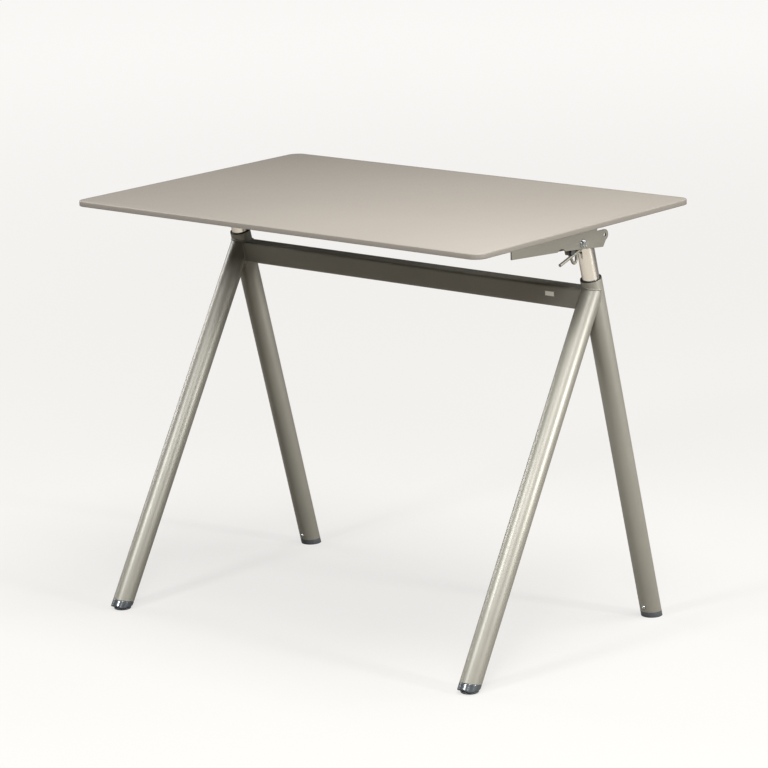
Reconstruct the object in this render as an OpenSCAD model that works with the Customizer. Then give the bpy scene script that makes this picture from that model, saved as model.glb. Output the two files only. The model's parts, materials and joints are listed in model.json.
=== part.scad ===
// Height-adjustable drafting table with a tilting top.
// Origin: on the floor under the middle of the top. +X right, +Y to the rear, +Z up.

/* [Table top] */
// Width of the top
top_w = 1000; // [800:10:1300]
// Depth of the top
top_d = 650; // [600:10:700]
// Thickness of the top panel
top_t = 10; // [8:1:14]
// Radius of the top's corners
top_corner_r = 25; // [10:1:60]
// Height of the working surface with the columns as drawn
top_h = 820; // [800:1:840]

/* [Frame] */
// Distance of each side frame's middle plane from the table's middle
frame_x = 441; // [360:1:460]
// Outer diameter of the legs
leg_d = 41; // [38:0.5:42]
// Wall of the legs
leg_wall = 2; // [1.5:0.5:3]
// Where the front leg's axis meets the floor
front_foot_y = -308.4; // [-320:0.2:-290]
// Where the column's axis meets the floor
rear_foot_y = 266.8; // [250:0.2:290]
// Where the two axes of a side frame cross
joint_y = 86.6; // [70:0.2:100]
// Height at which the two axes of a side frame cross
joint_z = 681.3; // [660:0.1:700]
// Height of the column tube's upper end
column_h = 701; // [695:1:710]
// Side of the square cross beam
beam_side = 40; // [30:1:42]
// Wall of the cross beam
beam_wall = 2; // [1.5:0.5:3]
// Outer corner radius of the cross beam
beam_corner_r = 4; // [2.5:0.5:6]

/* [Telescope] */
// Outer diameter of the sliding tube
slide_d = 33; // [30:0.5:34]
// Wall of the sliding tube
slide_wall = 2; // [1.5:0.5:3]
// Length of the sliding tube
slide_len = 600; // [560:5:610]
// Radial play of each sliding or turning fit
play = 0.05; // [0.03:0.01:0.1]

/* [Tilting head] */
// Distance of the tilt axis behind the middle of the top
pivot_y = 31; // [28:0.5:33]
// Height of the tilt axis
pivot_z = 777; // [776:0.5:779]
// Thickness of the folded steel of the tilt brackets
sheet = 3; // [2.5:0.5:4]
// Diameter of the tilt axis bolt
bolt_d = 8; // [6:1:10]

/* [Feet] */
// Diameter of a levelling glide's disc
glide_d = 34; // [28:1:38]
// Height of a rear foot's collar
rear_collar = 11; // [8:1:14]

/* [Hidden] */

$fn = 64;
eps = 0.01;
leg_r = leg_d / 2;
leg_bore_r = leg_r - leg_wall;
slide_r = slide_d / 2;
slide_bore_r = slide_r - slide_wall;
main_lean = atan2(rear_foot_y - joint_y, joint_z);
front_lean = atan2(joint_y - front_foot_y, joint_z);
column_len = column_h / cos(main_lean);
weld_gap = 0.05;
under_z = top_h - top_t;

// Slope of the front leg's cut end and the height where the leg's axis leaves the tube
front_cut_tilt = 15;
front_cut_z = 16.5;
cap_bottom_z = 6;
glide_y = -302.8;
glide_t = 4.2;
cap_chamfer_y = -321.4;
cap_chamfer_tilt = 42;
glide_stud_r = 4;
glide_stud_top = 34;
rear_cut_z = rear_collar;
foot_screw_z = 27;

// Places along the column's axis, measured from the floor
slide_top_s = 816;
slide_bottom_s = slide_top_s - slide_len;
shoe_len = 40;
shoe_gap = 0.05;
bush_len = 42;
bush_flange_t = 1.5;
bush_flange_r = leg_r - 0.3;
cylinder_bottom_s = 62;
cylinder_top_s = 522;
cylinder_r = 11;
cylinder_bore_r = 9;
cylinder_end = 10;
rod_r = 4;
piston_s = 130;
piston_t = 12;
seat_s = 772;
seat_t = 8;
release_pin_r = 1.6;
release_pin_bottom_s = 760;
release_pin_top_s = 790.2;
release_bore_s = 754;

// Tilt bracket, seen from the side
bracket_out_x = 20;
bracket_in_x = bracket_out_x - sheet;
bracket_front_y = -181;
bracket_front_z = 782.5;
bracket_mid_y = -17;
bracket_mid_z = 771.5;
bracket_rear_y = 94;
bracket_rear_z = 761;
tongue_hole_y = 99.8;
tongue_hole_z = 783;
tongue_r = 10.2;
tongue_hole_r = 3.5;
step_y = 76;
notch_y = -34;
notch_half = 17;
notch_top_z = 777.8;
flange_in_x = -17;
ear_front_y = -46;
ear_r = 15;
screw_ys = [-165, -85, -10, 62];
screw_x = -2;
screw_r = 2.5;
screw_bite = 6.5;
screw_head_r = 4.8;
screw_head_t = 2.6;

// Head on the sliding tube
boss_r = 10;
boss_gap = 0.3;
boss_in_x = flange_in_x + sheet + boss_gap;
boss_out_x = bracket_in_x - boss_gap;
web_x0 = -6.5;
web_t = 5;
lever_y = 16.4;
lever_z = 761.5;
lever_x = 6;
lever_rod_r = 3;
lever_tip_y = -21;
lever_tip_z = 743.6;
lever_rear_y = 39.5;
lever_rear_z = 762.5;
lever_pin_r = 2.5;
lever_boss_r = 4.6;
lever_hub_r = 6;
lever_arm_x0 = -0.9;
lever_arm_t = 3.6;
loop_x = 0;
loop_wire_r = 2.7;
loop_bend_r = 6.2;
loop_y = 36.5;
loop_z = 743.5;
loop_arm_turn = 148;
loop_left_len = 20;
loop_right_len = 12;

steel_paint = "#8f8c80";
chrome_colour = "#d8d4cc";
zinc = "#c9ccd1";
black_plastic = "#2b2c2e";
slate_plastic = "#47505a";
panel_colour = "#b4ac9f";

// Places children on a side frame's middle plane; the left side is the right side mirrored
module on_side(side) {
    mirror([side < 0 ? 1 : 0, 0, 0]) translate([frame_x, 0, 0]) children();
}

// Turns the local Z axis on to the column's axis, with zero at the floor
module along_column() {
    translate([0, rear_foot_y, 0]) rotate([main_lean, 0, 0]) children();
}

// Turns the local Z axis on to the front leg's axis, with zero at the floor
module along_front_leg() {
    translate([0, front_foot_y, 0]) rotate([-front_lean, 0, 0]) children();
}

// A cylinder along X between two places
module bar_x(r, x0, x1, y, z) {
    translate([x0, y, z]) rotate([0, 90, 0]) cylinder(r = r, h = x1 - x0);
}

// A plate in the YZ plane, from x0 to x0 + t, with its outline given as [y, z]
module plate_x(x0, t) {
    translate([x0, 0, 0]) rotate([90, 0, 90]) linear_extrude(height = t) children();
}

module ring(r_out, r_in, h) {
    difference() {
        cylinder(r = r_out, h = h);
        translate([0, 0, -1]) cylinder(r = r_in, h = h + 2);
    }
}

module rounded_rect(w, d, r) {
    square([w - 2 * r, d], center = true);
    square([w, d - 2 * r], center = true);
    for (sx = [-1, 1], sy = [-1, 1]) translate([sx * (w / 2 - r), sy * (d / 2 - r)]) circle(r = r);
}

// ---- Top -------------------------------------------------------------------

module screw_places() {
    for (side = [-1, 1], y = screw_ys) on_side(side) translate([screw_x, y, 0]) children();
}

module tabletop() {
    color(panel_colour) difference() {
        translate([0, 0, under_z]) linear_extrude(height = top_t) rounded_rect(top_w, top_d, top_corner_r);
        screw_places() translate([0, 0, under_z - 1]) cylinder(r = screw_r, h = screw_bite + 1.5);
    }
}

module bracket_outline() {
    difference() {
        union() {
            polygon([
                [bracket_front_y, under_z], [bracket_front_y, bracket_front_z],
                [bracket_mid_y, bracket_mid_z], [bracket_rear_y, bracket_rear_z],
                [tongue_hole_y + tongue_r, tongue_hole_z], [tongue_hole_y, tongue_hole_z + tongue_r],
                [step_y, tongue_hole_z + tongue_r], [step_y, under_z]
            ]);
            translate([tongue_hole_y, tongue_hole_z]) circle(r = tongue_r);
        }
        translate([notch_y, notch_top_z - notch_half]) circle(r = notch_half);
    }
}

module ear_outline() {
    polygon([
        [ear_front_y, under_z - sheet], [ear_front_y, pivot_z - ear_r + 4.5],
        [pivot_y, pivot_z - ear_r], [pivot_y + ear_r, pivot_z], [pivot_y + ear_r, under_z - sheet]
    ]);
    translate([pivot_y, pivot_z]) circle(r = ear_r);
}

module tilt_bracket(side) {
    color(steel_paint) on_side(side) difference() {
        union() {
            plate_x(bracket_in_x, sheet) bracket_outline();
            translate([flange_in_x, bracket_front_y, under_z - sheet])
                cube([bracket_in_x - flange_in_x, step_y - bracket_front_y, sheet]);
            plate_x(flange_in_x, sheet) ear_outline();
        }
        bar_x(bolt_d / 2, flange_in_x - 1, bracket_out_x + 1, pivot_y, pivot_z);
        bar_x(tongue_hole_r, bracket_in_x - 1, bracket_out_x + 1, tongue_hole_y, tongue_hole_z);
        for (y = screw_ys) translate([screw_x, y, under_z - sheet - 1]) cylinder(r = screw_r, h = sheet + 2);
    }
}

module bracket_screws() {
    color(zinc) screw_places() translate([0, 0, under_z - sheet - screw_head_t]) {
        difference() {
            cylinder(r = screw_head_r, h = screw_head_t);
            translate([0, 0, -1]) cylinder(r = 1.8, h = 2.6, $fn = 6);
        }
        cylinder(r = screw_r, h = screw_head_t + sheet + screw_bite);
    }
}

module pivot_bolt(side) {
    washer_t = 1.6;
    head_t = 5.3;
    tip_x = flange_in_x - 12;
    color(zinc) on_side(side) {
        bar_x(bolt_d / 2, tip_x, bracket_out_x + washer_t + 1, pivot_y, pivot_z);
        bar_x(7.3, bracket_out_x + washer_t, bracket_out_x + washer_t + head_t, pivot_y, pivot_z, $fn = 6);
    }
}

module pivot_nut(side) {
    nut_t = 8;
    color(zinc) on_side(side) difference() {
        bar_x(7.3, flange_in_x - 1.6 - nut_t, flange_in_x - 1.6, pivot_y, pivot_z, $fn = 6);
        bar_x(bolt_d / 2, flange_in_x - 12, flange_in_x, pivot_y, pivot_z);
    }
}

module pivot_washers() {
    color(zinc) for (side = [-1, 1], x = [bracket_out_x, flange_in_x - 1.6]) on_side(side) difference() {
        bar_x(8, x, x + 1.6, pivot_y, pivot_z);
        bar_x(bolt_d / 2, x - 1, x + 2.6, pivot_y, pivot_z);
    }
}

// ---- Sliding columns ---------------------------------------------------------

module sliding_tube(side) {
    color(chrome_colour) on_side(side) difference() {
        along_column() translate([0, 0, slide_bottom_s]) ring(slide_r, slide_bore_r, slide_len);
        if (side > 0) translate([lever_arm_x0 - 0.8, joint_y - 50, lever_z - 8]) cube([lever_arm_t + 1.6, 28, 18]);
    }
}

module slide_shoe(side) {
    color(black_plastic) on_side(side) along_column() translate([0, 0, slide_bottom_s])
        ring(leg_bore_r - play, slide_r, shoe_len);
}

module head(side) {
    color(steel_paint) on_side(side) difference() {
        union() {
            plate_x(web_x0, web_t) polygon([
                [pivot_y - boss_r + 1, pivot_z + 4], [lever_y - 4.5, lever_z + 4], [lever_y - 4.5, lever_z - 5],
                [lever_y + 12, 756], [58, 754], [56, 786], [pivot_y, pivot_z + boss_r]
            ]);
            bar_x(boss_r, boss_in_x, boss_out_x, pivot_y, pivot_z);
        }
        along_column() cylinder(r = slide_r, h = 900);
        bar_x(bolt_d / 2 + play, boss_in_x - 1, boss_out_x + 1, pivot_y, pivot_z);
        if (side > 0) bar_x(lever_pin_r, web_x0 - 1, web_x0 + web_t + 1, lever_y, lever_z);
    }
}

module tube_plug(side) {
    color(black_plastic) on_side(side) along_column() {
        translate([0, 0, slide_top_s]) cylinder(r = slide_r, h = 2);
        translate([0, 0, slide_top_s - 9]) cylinder(r = slide_bore_r, h = 9.5);
    }
}

module spring_rod(side) {
    color(zinc) on_side(side) along_column() difference() {
        union() {
            translate([0, 0, piston_s]) cylinder(r = cylinder_bore_r - play, h = piston_t);
            translate([0, 0, piston_s]) cylinder(r = rod_r, h = seat_s - piston_s + 4);
            translate([0, 0, seat_s]) cylinder(r = slide_bore_r, h = seat_t);
        }
        if (side > 0) translate([0, 0, release_bore_s]) cylinder(r = release_pin_r + play, h = 40);
    }
}

module release_pin() {
    color(zinc) on_side(1) along_column() translate([0, 0, release_pin_bottom_s])
        cylinder(r = release_pin_r, h = release_pin_top_s - release_pin_bottom_s);
}

module spring_cylinder(side) {
    color("#3a3b3d") on_side(side) along_column() difference() {
        union() {
            translate([0, 0, cylinder_bottom_s]) cylinder(r = cylinder_r, h = cylinder_top_s - cylinder_bottom_s);
            translate([0, 0, cylinder_bottom_s - 22]) cylinder(r = 5, h = 23);
        }
        translate([0, 0, cylinder_bottom_s + cylinder_end])
            cylinder(r = cylinder_bore_r, h = cylinder_top_s - cylinder_bottom_s - 2 * cylinder_end);
        translate([0, 0, cylinder_top_s - cylinder_end - 1]) cylinder(r = rod_r + play, h = cylinder_end + 2);
    }
}

// ---- Release lever ----------------------------------------------------------

module lever_shape() {
    reach = [lever_tip_y - lever_rear_y, lever_tip_z - lever_rear_z];
    translate([lever_x, lever_rear_y, lever_rear_z]) rotate([atan2(-reach[0], reach[1]), 0, 0])
        cylinder(r = lever_rod_r, h = norm(reach));
    plate_x(lever_arm_x0, lever_arm_t) polygon([
        [lever_y - 2, lever_z - 3.5], [lever_y + 20, lever_z - 2.5], [70, 765.6],
        [70, 769.6], [lever_y + 20, lever_z + 4.5], [lever_y - 2, lever_z + 3.5]
    ]);
    bar_x(lever_boss_r, lever_arm_x0, lever_x, lever_y, lever_z);
    bar_x(lever_rod_r + 0.4, lever_arm_x0, lever_x + 3.4, lever_rear_y, lever_rear_z);
}

module release_lever() {
    color(steel_paint) on_side(1) difference() {
        lever_shape();
        bar_x(lever_pin_r + play, lever_arm_x0 - 1, lever_x + 1, lever_y, lever_z);
    }
}

module lever_hub() {
    color(black_plastic) on_side(1) difference() {
        bar_x(lever_hub_r, lever_arm_x0 + lever_arm_t, lever_x + 2.6, lever_y, lever_z);
        lever_shape();
    }
}

module lever_pin() {
    color(zinc) on_side(1) {
        bar_x(lever_pin_r, web_x0 - 0.5, lever_x - 0.3, lever_y, lever_z);
        bar_x(4, web_x0 - 2, web_x0, lever_y, lever_z);
    }
}

module lever_guide() {
    color(steel_paint) on_side(1) difference() {
        translate([web_x0 + web_t / 2, loop_y, loop_z]) rotate([90, 0, 90]) {
            rotate([0, 0, -loop_arm_turn]) rotate_extrude(angle = loop_arm_turn)
                translate([loop_bend_r, 0]) circle(r = loop_wire_r);
            translate([loop_bend_r, -0.3, 0]) rotate([-90, 0, 0])
                cylinder(r = loop_wire_r + 0.03, h = loop_right_len);
            rotate([0, 0, -loop_arm_turn]) translate([loop_bend_r, 0.3, 0]) rotate([90, 0, 0])
                cylinder(r = loop_wire_r + 0.03, h = loop_left_len);
        }
        plate_x(web_x0 - 1, web_t + 2) polygon([
            [lever_y - 4.5, lever_z - 5], [lever_y + 12, 756], [58, 754], [58, 790], [0, 790]
        ]);
    }
}

// ---- Frame --------------------------------------------------------------------

module column(side) {
    color(steel_paint) on_side(side) difference() {
        along_column() ring(leg_r, leg_bore_r, column_len);
        translate([-50, rear_foot_y - 100, -50]) cube([100, 200, 50 + rear_cut_z]);
        rear_tongue(0);
        foot_screw_hole(2.6);
    }
}

// The tongue of a rear foot, which sits in a slot in the front of the column
module rear_tongue(shrink) {
    translate([0, rear_foot_y - 40, rear_cut_z - 2]) linear_extrude(height = 10 - shrink) {
        translate([-2.8 + shrink, 0]) square([5.6 - 2 * shrink, 26]);
    }
}

module foot_screw_hole(r) {
    translate([0, rear_foot_y - tan(main_lean) * foot_screw_z, foot_screw_z]) rotate([90 + main_lean, 0, 0])
        cylinder(r = r, h = 40);
}

module front_leg(side) {
    color(steel_paint) on_side(side) difference() {
        along_front_leg() ring(leg_r, leg_bore_r, joint_z / cos(front_lean));
        along_column() cylinder(r = leg_r + weld_gap, h = 900);
        below_front_cut();
    }
}

// Everything under the slanting plane where the front leg ends
module below_front_cut() {
    translate([0, front_foot_y + tan(front_lean) * front_cut_z, front_cut_z]) rotate([-front_cut_tilt, 0, 0])
        translate([-60, -60, -80]) cube([120, 120, 80]);
}

module cross_beam() {
    half = frame_x - 6;
    color(steel_paint) difference() {
        translate([-half, joint_y + 3.4, joint_z - 20.3]) rotate([90, 0, 90]) linear_extrude(height = 2 * half)
            difference() {
                rounded_rect(beam_side, beam_side, beam_corner_r);
                rounded_rect(beam_side - 2 * beam_wall, beam_side - 2 * beam_wall, beam_corner_r - beam_wall);
            }
        for (side = [-1, 1]) on_side(side) {
            along_column() cylinder(r = leg_r + weld_gap, h = 900);
            along_front_leg() cylinder(r = leg_r + 2 * weld_gap, h = joint_z / cos(front_lean));
        }
    }
}

module beam_label() {
    color("#e8e4da") translate([342, joint_y + 3.4 - beam_side / 2 - 0.4, joint_z - 22]) cube([22, 0.4, 10]);
}

module guide_bush(side) {
    color(black_plastic) on_side(side) along_column() translate([0, 0, column_len - bush_len]) {
        ring(leg_bore_r, slide_r + play, bush_len + bush_flange_t);
        translate([0, 0, bush_len]) ring(bush_flange_r, slide_r + play, bush_flange_t);
    }
}

module rear_foot(side) {
    color(black_plastic) on_side(side) {
        difference() {
            intersection() {
                along_column() translate([0, 0, -20]) cylinder(r = leg_r, h = 60);
                translate([-40, rear_foot_y - 50, 0]) cube([80, 100, rear_cut_z]);
            }
            along_column() translate([0, 0, 2]) cylinder(r = 12, h = 60);
        }
        difference() {
            along_column() translate([0, 0, 4]) cylinder(r = leg_bore_r, h = 40);
            translate([-40, rear_foot_y - 50, -20]) cube([80, 100, 20 + rear_cut_z - eps]);
            along_column() translate([0, 0, 40]) cylinder(r = 5, h = 60);
            along_column() translate([0, 0, -2]) cylinder(r = 12, h = 20);
            foot_screw_hole(2);
        }
        difference() {
            rear_tongue(0.2);
            along_column() cylinder(r = leg_bore_r, h = 60);
            translate([-10, rear_foot_y - 60, -1]) cube([20, 60 - leg_r / cos(main_lean) - 2.2, 40]);
            translate([-40, rear_foot_y - 50, -20]) cube([80, 100, 20 + rear_cut_z - eps]);
        }
    }
}

module rear_foot_screws() {
    color(zinc) for (side = [-1, 1]) on_side(side) {
        intersection() {
            foot_screw_hole(2);
            along_column() cylinder(r = leg_r + 0.5, h = 60);
        }
        intersection() {
            foot_screw_hole(3.6);
            along_column() ring(leg_r + 1.6, leg_r - eps, 60);
        }
    }
}

module front_cap(side) {
    color(slate_plastic) on_side(side) difference() {
        union() {
            intersection() {
                along_front_leg() translate([0, 0, -20]) cylinder(r = leg_r, h = 60);
                below_front_cut();
                translate([-40, front_foot_y - 60, cap_bottom_z]) cube([80, 130, 60]);
            }
            along_front_leg() translate([0, 0, 22]) cylinder(r = leg_bore_r, h = 24);
        }
        translate([0, cap_chamfer_y, cap_bottom_z]) rotate([-cap_chamfer_tilt, 0, 0])
            translate([-60, -60, -40]) cube([120, 120, 40]);
        translate([0, glide_y, 0]) cylinder(r = glide_stud_r + play, h = glide_stud_top + 1.5);
        translate([0, glide_y, cap_bottom_z + 12]) cylinder(r = 7.5, h = 6.5, $fn = 6);
    }
}

module foot_nuts() {
    color(zinc) for (side = [-1, 1]) on_side(side) translate([0, glide_y, cap_bottom_z + 12]) difference() {
        cylinder(r = 7.5, h = 6.5, $fn = 6);
        translate([0, 0, -1]) cylinder(r = glide_stud_r + play, h = 9);
    }
}

module glide(side) {
    color(black_plastic) on_side(side) translate([0, glide_y, 0]) {
        rotate_extrude() polygon([
            [0, 0], [glide_d / 2 - 1.2, 0], [glide_d / 2, 1.2], [glide_d / 2, glide_t - 0.8],
            [glide_d / 2 - 1.5, glide_t], [0, glide_t]
        ]);
        cylinder(r = glide_stud_r, h = glide_stud_top);
    }
}

tabletop();
tilt_bracket(1);  // tilt_bracket_right
tilt_bracket(-1);  // tilt_bracket_left
bracket_screws();
pivot_bolt(1);  // pivot_bolt_right
pivot_bolt(-1);  // pivot_bolt_left
pivot_nut(1);  // pivot_nut_right
pivot_nut(-1);  // pivot_nut_left
pivot_washers();
sliding_tube(1);  // sliding_tube_right
sliding_tube(-1);  // sliding_tube_left
slide_shoe(1);  // slide_shoe_right
slide_shoe(-1);  // slide_shoe_left
head(1);  // head_right
head(-1);  // head_left
tube_plug(1);  // tube_plug_right
tube_plug(-1);  // tube_plug_left
spring_rod(1);  // spring_rod_right
spring_rod(-1);  // spring_rod_left
lever_guide();
lever_pin();
release_lever();
lever_hub();
release_pin();
column(1);  // column_right
column(-1);  // column_left
front_leg(1);  // front_leg_right
front_leg(-1);  // front_leg_left
cross_beam();
beam_label();
guide_bush(1);  // guide_bush_right
guide_bush(-1);  // guide_bush_left
spring_cylinder(1);  // spring_cylinder_right
spring_cylinder(-1);  // spring_cylinder_left
rear_foot(1);  // rear_foot_right
rear_foot(-1);  // rear_foot_left
rear_foot_screws();
front_cap(1);  // front_cap_right
front_cap(-1);  // front_cap_left
foot_nuts();
glide(1);  // glide_right
glide(-1);  // glide_left
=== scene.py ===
"""A drafting table with a tilting top on two telescopic side frames: looks, light and camera.

Lengths are in metres, in the CAD's frame: +X towards the release lever's side, +Y to the rear, +Z up.
"""

import json
import math

import bmesh
import bpy
from mathutils import Matrix, Vector


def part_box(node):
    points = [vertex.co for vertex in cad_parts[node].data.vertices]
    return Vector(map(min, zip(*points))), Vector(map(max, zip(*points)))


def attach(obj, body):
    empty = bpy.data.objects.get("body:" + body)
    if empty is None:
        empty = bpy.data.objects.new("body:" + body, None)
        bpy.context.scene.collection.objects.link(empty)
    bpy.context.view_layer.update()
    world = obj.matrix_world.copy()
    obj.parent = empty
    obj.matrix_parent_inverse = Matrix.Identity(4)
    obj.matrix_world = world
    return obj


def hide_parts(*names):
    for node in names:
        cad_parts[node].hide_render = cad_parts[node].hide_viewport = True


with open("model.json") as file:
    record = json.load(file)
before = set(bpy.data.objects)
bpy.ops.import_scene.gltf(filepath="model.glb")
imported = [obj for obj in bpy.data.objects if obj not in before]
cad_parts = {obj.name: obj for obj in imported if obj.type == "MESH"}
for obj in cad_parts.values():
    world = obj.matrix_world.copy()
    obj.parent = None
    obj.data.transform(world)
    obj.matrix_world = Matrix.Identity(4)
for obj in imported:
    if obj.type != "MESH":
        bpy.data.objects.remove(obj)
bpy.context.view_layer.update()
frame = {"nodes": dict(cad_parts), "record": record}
NODES = frame["nodes"]
BODIES = frame["record"]["behaviour"]["bodies"]
JOINTS = {joint["name"]: joint for joint in frame["record"]["behaviour"]["joints"]}
BODY_OF = {node: body for body, nodes in BODIES.items() for node in nodes}
SLOT_OF = {part["node"]: part["material_slot"] for part in frame["record"]["subparts"]}
SIDES = {"right": 1, "left": -1}
X_AXIS, Z_AXIS = Vector((1, 0, 0)), Vector((0, 0, 1))
# Points of a CAD mesh nearer to each other than this are one point.
SAME_POINT = 2e-6

# ---- Measures taken from the CAD -------------------------------------------------------


def corners_of(node):
    """The lowest and the highest corner of a CAD node's box."""
    low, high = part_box(node)
    return Vector(low), Vector(high)


COLUMN_LOW, COLUMN_HIGH = corners_of("column_right")
TOP_LOW, TOP_HIGH = corners_of("tabletop")
BEAM_LOW, BEAM_HIGH = corners_of("cross_beam")
BRACKET_OUTER_X = corners_of("tilt_bracket_right")[1].x
FRAME_X = (COLUMN_LOW + COLUMN_HIGH).x / 2
LEG_R = (COLUMN_HIGH - COLUMN_LOW).x / 2
COLUMN_AXIS = Vector(JOINTS["lift_slide"]["axis"]).normalized()
COLUMN_LEAN = math.atan2(-COLUMN_AXIS.y, COLUMN_AXIS.z)
TILT_AXIS = Vector(JOINTS["top_tilt"]["pos_m"])

# ---- Mesh helpers ----------------------------------------------------------------------


def turns(count):
    """Evenly spaced angles round a circle."""
    return [2 * math.pi * step / count for step in range(count)]


def make_object(name, mesh):
    """Links a mesh to the scene as an object at the origin."""
    piece = bpy.data.objects.new(name, mesh)
    bpy.context.scene.collection.objects.link(piece)
    return piece


def mesh_from_bmesh(name, bm):
    """Turns a bmesh into a mesh and frees it."""
    mesh = bpy.data.meshes.new(name)
    bm.to_mesh(mesh)
    bm.free()
    return mesh


def object_from_bmesh(name, bm, sharp_angle=40):
    """Turns a bmesh into a smooth-shaded object whose faces point outwards."""
    bmesh.ops.recalc_face_normals(bm, faces=bm.faces)
    mesh = mesh_from_bmesh(name, bm)
    mesh.shade_smooth()
    mesh.set_sharp_from_angle(angle=math.radians(sharp_angle))
    return make_object(name, mesh)


def apply_modifiers(piece):
    """Makes the result of a piece's modifiers its plain mesh."""
    depsgraph = bpy.context.evaluated_depsgraph_get()
    result = bpy.data.meshes.new_from_object(piece.evaluated_get(depsgraph))
    piece.modifiers.clear()
    piece.data = result


def finish_piece(piece, node, material, replaces=False):
    """Gives a piece its material and makes it ride with a CAD node, beside the node or instead of it."""
    piece.data.materials.clear()
    piece.data.materials.append(material)
    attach(piece, BODY_OF[node])
    if replaces:
        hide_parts(node)


def merged_copy(node):
    """A CAD node's mesh as a bmesh, its triangles welded and its flat faces joined."""
    bm = bmesh.new()
    bm.from_mesh(NODES[node].data)
    bmesh.ops.remove_doubles(bm, verts=bm.verts, dist=SAME_POINT)
    bmesh.ops.dissolve_limit(bm, angle_limit=math.radians(1), verts=bm.verts, edges=bm.edges)
    return bm


def eased_copy(node, material, radius, is_fold=None, fold_radius=0.0):
    """A CAD node with its sharp edges rounded, and the edges of a sheet's fold bent more gently."""
    bm = merged_copy(node)
    if is_fold:
        fold_edges = [edge for edge in bm.edges if is_fold(edge)]
        bmesh.ops.bevel(bm, geom=fold_edges, offset=fold_radius, segments=6, profile=0.5, affect="EDGES")
    name = f"{node}_finished"
    piece = make_object(name, mesh_from_bmesh(name, bm))
    bevel = piece.modifiers.new("Eased edges", "BEVEL")
    bevel.width = radius
    bevel.segments = 3
    bevel.limit_method = "ANGLE"
    bevel.angle_limit = math.radians(35)
    apply_modifiers(piece)
    piece.data.shade_smooth()
    piece.data.set_sharp_from_angle(angle=math.radians(40))
    finish_piece(piece, node, material, replaces=True)


def softened_copy(node, material, voxel, passes):
    """A moulded CAD node with every edge and corner rounded off, as a mould leaves it."""
    name = f"{node}_finished"
    piece = make_object(name, mesh_from_bmesh(name, merged_copy(node)))
    remesh = piece.modifiers.new("Even mesh", "REMESH")
    remesh.mode = "VOXEL"
    remesh.voxel_size = voxel
    smooth = piece.modifiers.new("Rounded edges", "SMOOTH")
    smooth.factor = 0.5
    smooth.iterations = passes
    apply_modifiers(piece)
    piece.data.shade_smooth()
    finish_piece(piece, node, material, replaces=True)


def rounded_profile(outline, radius):
    """Rounds the corners of a closed 2-D outline of convex corners with one radius."""
    rounded, steps = [], 4
    for index, corner in enumerate(outline):
        before = (outline[index - 1] - corner).normalized()
        after = (outline[(index + 1) % len(outline)] - corner).normalized()
        half_angle = before.angle(after) / 2
        reach = radius / math.tan(half_angle)
        centre = corner + (before + after).normalized() * radius / math.sin(half_angle)
        start, stop = corner + before * reach - centre, corner + after * reach - centre
        turn = start.angle_signed(stop)
        for step in range(steps + 1):
            angle = -turn * step / steps
            turned = Vector((
                start.x * math.cos(angle) - start.y * math.sin(angle),
                start.x * math.sin(angle) + start.y * math.cos(angle),
            ))
            rounded.append(centre + turned)
    return rounded


def rounded_rectangle(half_width, half_depth, radius, inset, steps=16):
    """Points of a rounded rectangle drawn in by an inset."""
    points = []
    reach = radius - inset
    for index, (side_x, side_y) in enumerate(((1, 1), (-1, 1), (-1, -1), (1, -1))):
        for step in range(steps + 1):
            angle = math.radians(90 * index) + math.radians(90) * step / steps
            points.append(Vector((
                side_x * (half_width - radius) + reach * math.cos(angle),
                side_y * (half_depth - radius) + reach * math.sin(angle),
            )))
    return points


def stitch_rings(bm, rings, closed=True):
    """Joins rings of vertices with quads; the last joins the first if closed, otherwise both get a lid."""
    count = len(rings[0])
    last = len(rings) if closed else len(rings) - 1
    for index in range(last):
        ring, following = rings[index], rings[(index + 1) % len(rings)]
        for step in range(count):
            after = (step + 1) % count
            bm.faces.new((ring[step], ring[after], following[after], following[step]))
    if not closed:
        bm.faces.new(rings[0])
        bm.faces.new(rings[-1])


# ---- Repeated and path-following pieces, made by Geometry Nodes ------------------------


def calculate(tree, operation, *values):
    """The result of an arithmetic node on sockets."""
    node = tree.nodes.new("ShaderNodeMath")
    node.operation = operation
    for socket, value in zip(node.inputs, values):
        tree.links.new(value, socket)
    return node.outputs["Value"]


def new_tree(name):
    """An empty Geometry Nodes tree with a geometry input and output."""
    tree = bpy.data.node_groups.new(name, "GeometryNodeTree")
    tree.interface.new_socket("Geometry", in_out="INPUT", socket_type="NodeSocketGeometry")
    tree.interface.new_socket("Geometry", in_out="OUTPUT", socket_type="NodeSocketGeometry")
    return tree, tree.nodes.new("NodeGroupInput"), tree.nodes.new("NodeGroupOutput")


def tree_input(tree, name, kind, default=None):
    """Adds a named input to a tree."""
    socket = tree.interface.new_socket(name, in_out="INPUT", socket_type=kind)
    if default is not None:
        socket.default_value = default


def end_tree(tree, geometry, inputs, outputs):
    """Ends a tree: real geometry, smooth faces and its material."""
    nodes, link = tree.nodes, tree.links.new
    real = nodes.new("GeometryNodeRealizeInstances")
    smooth = nodes.new("GeometryNodeSetShadeSmooth")
    finish = nodes.new("GeometryNodeSetMaterial")
    link(geometry, real.inputs["Geometry"])
    link(real.outputs["Geometry"], smooth.inputs["Geometry"])
    link(smooth.outputs["Geometry"], finish.inputs["Geometry"])
    link(inputs.outputs["Finish"], finish.inputs["Material"])
    link(finish.outputs["Geometry"], outputs.inputs["Geometry"])


def run_tree(name, mesh, tree, values):
    """Runs a tree on a mesh and returns the result as a plain object."""
    carrier = make_object(name, mesh)
    modifier = carrier.modifiers.new(tree.name, "NODES")
    modifier.node_group = tree
    for socket in tree.interface.items_tree:
        if socket.item_type == "SOCKET" and socket.in_out == "INPUT" and socket.name in values:
            modifier[socket.identifier] = values[socket.name]
    apply_modifiers(carrier)
    return carrier


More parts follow.
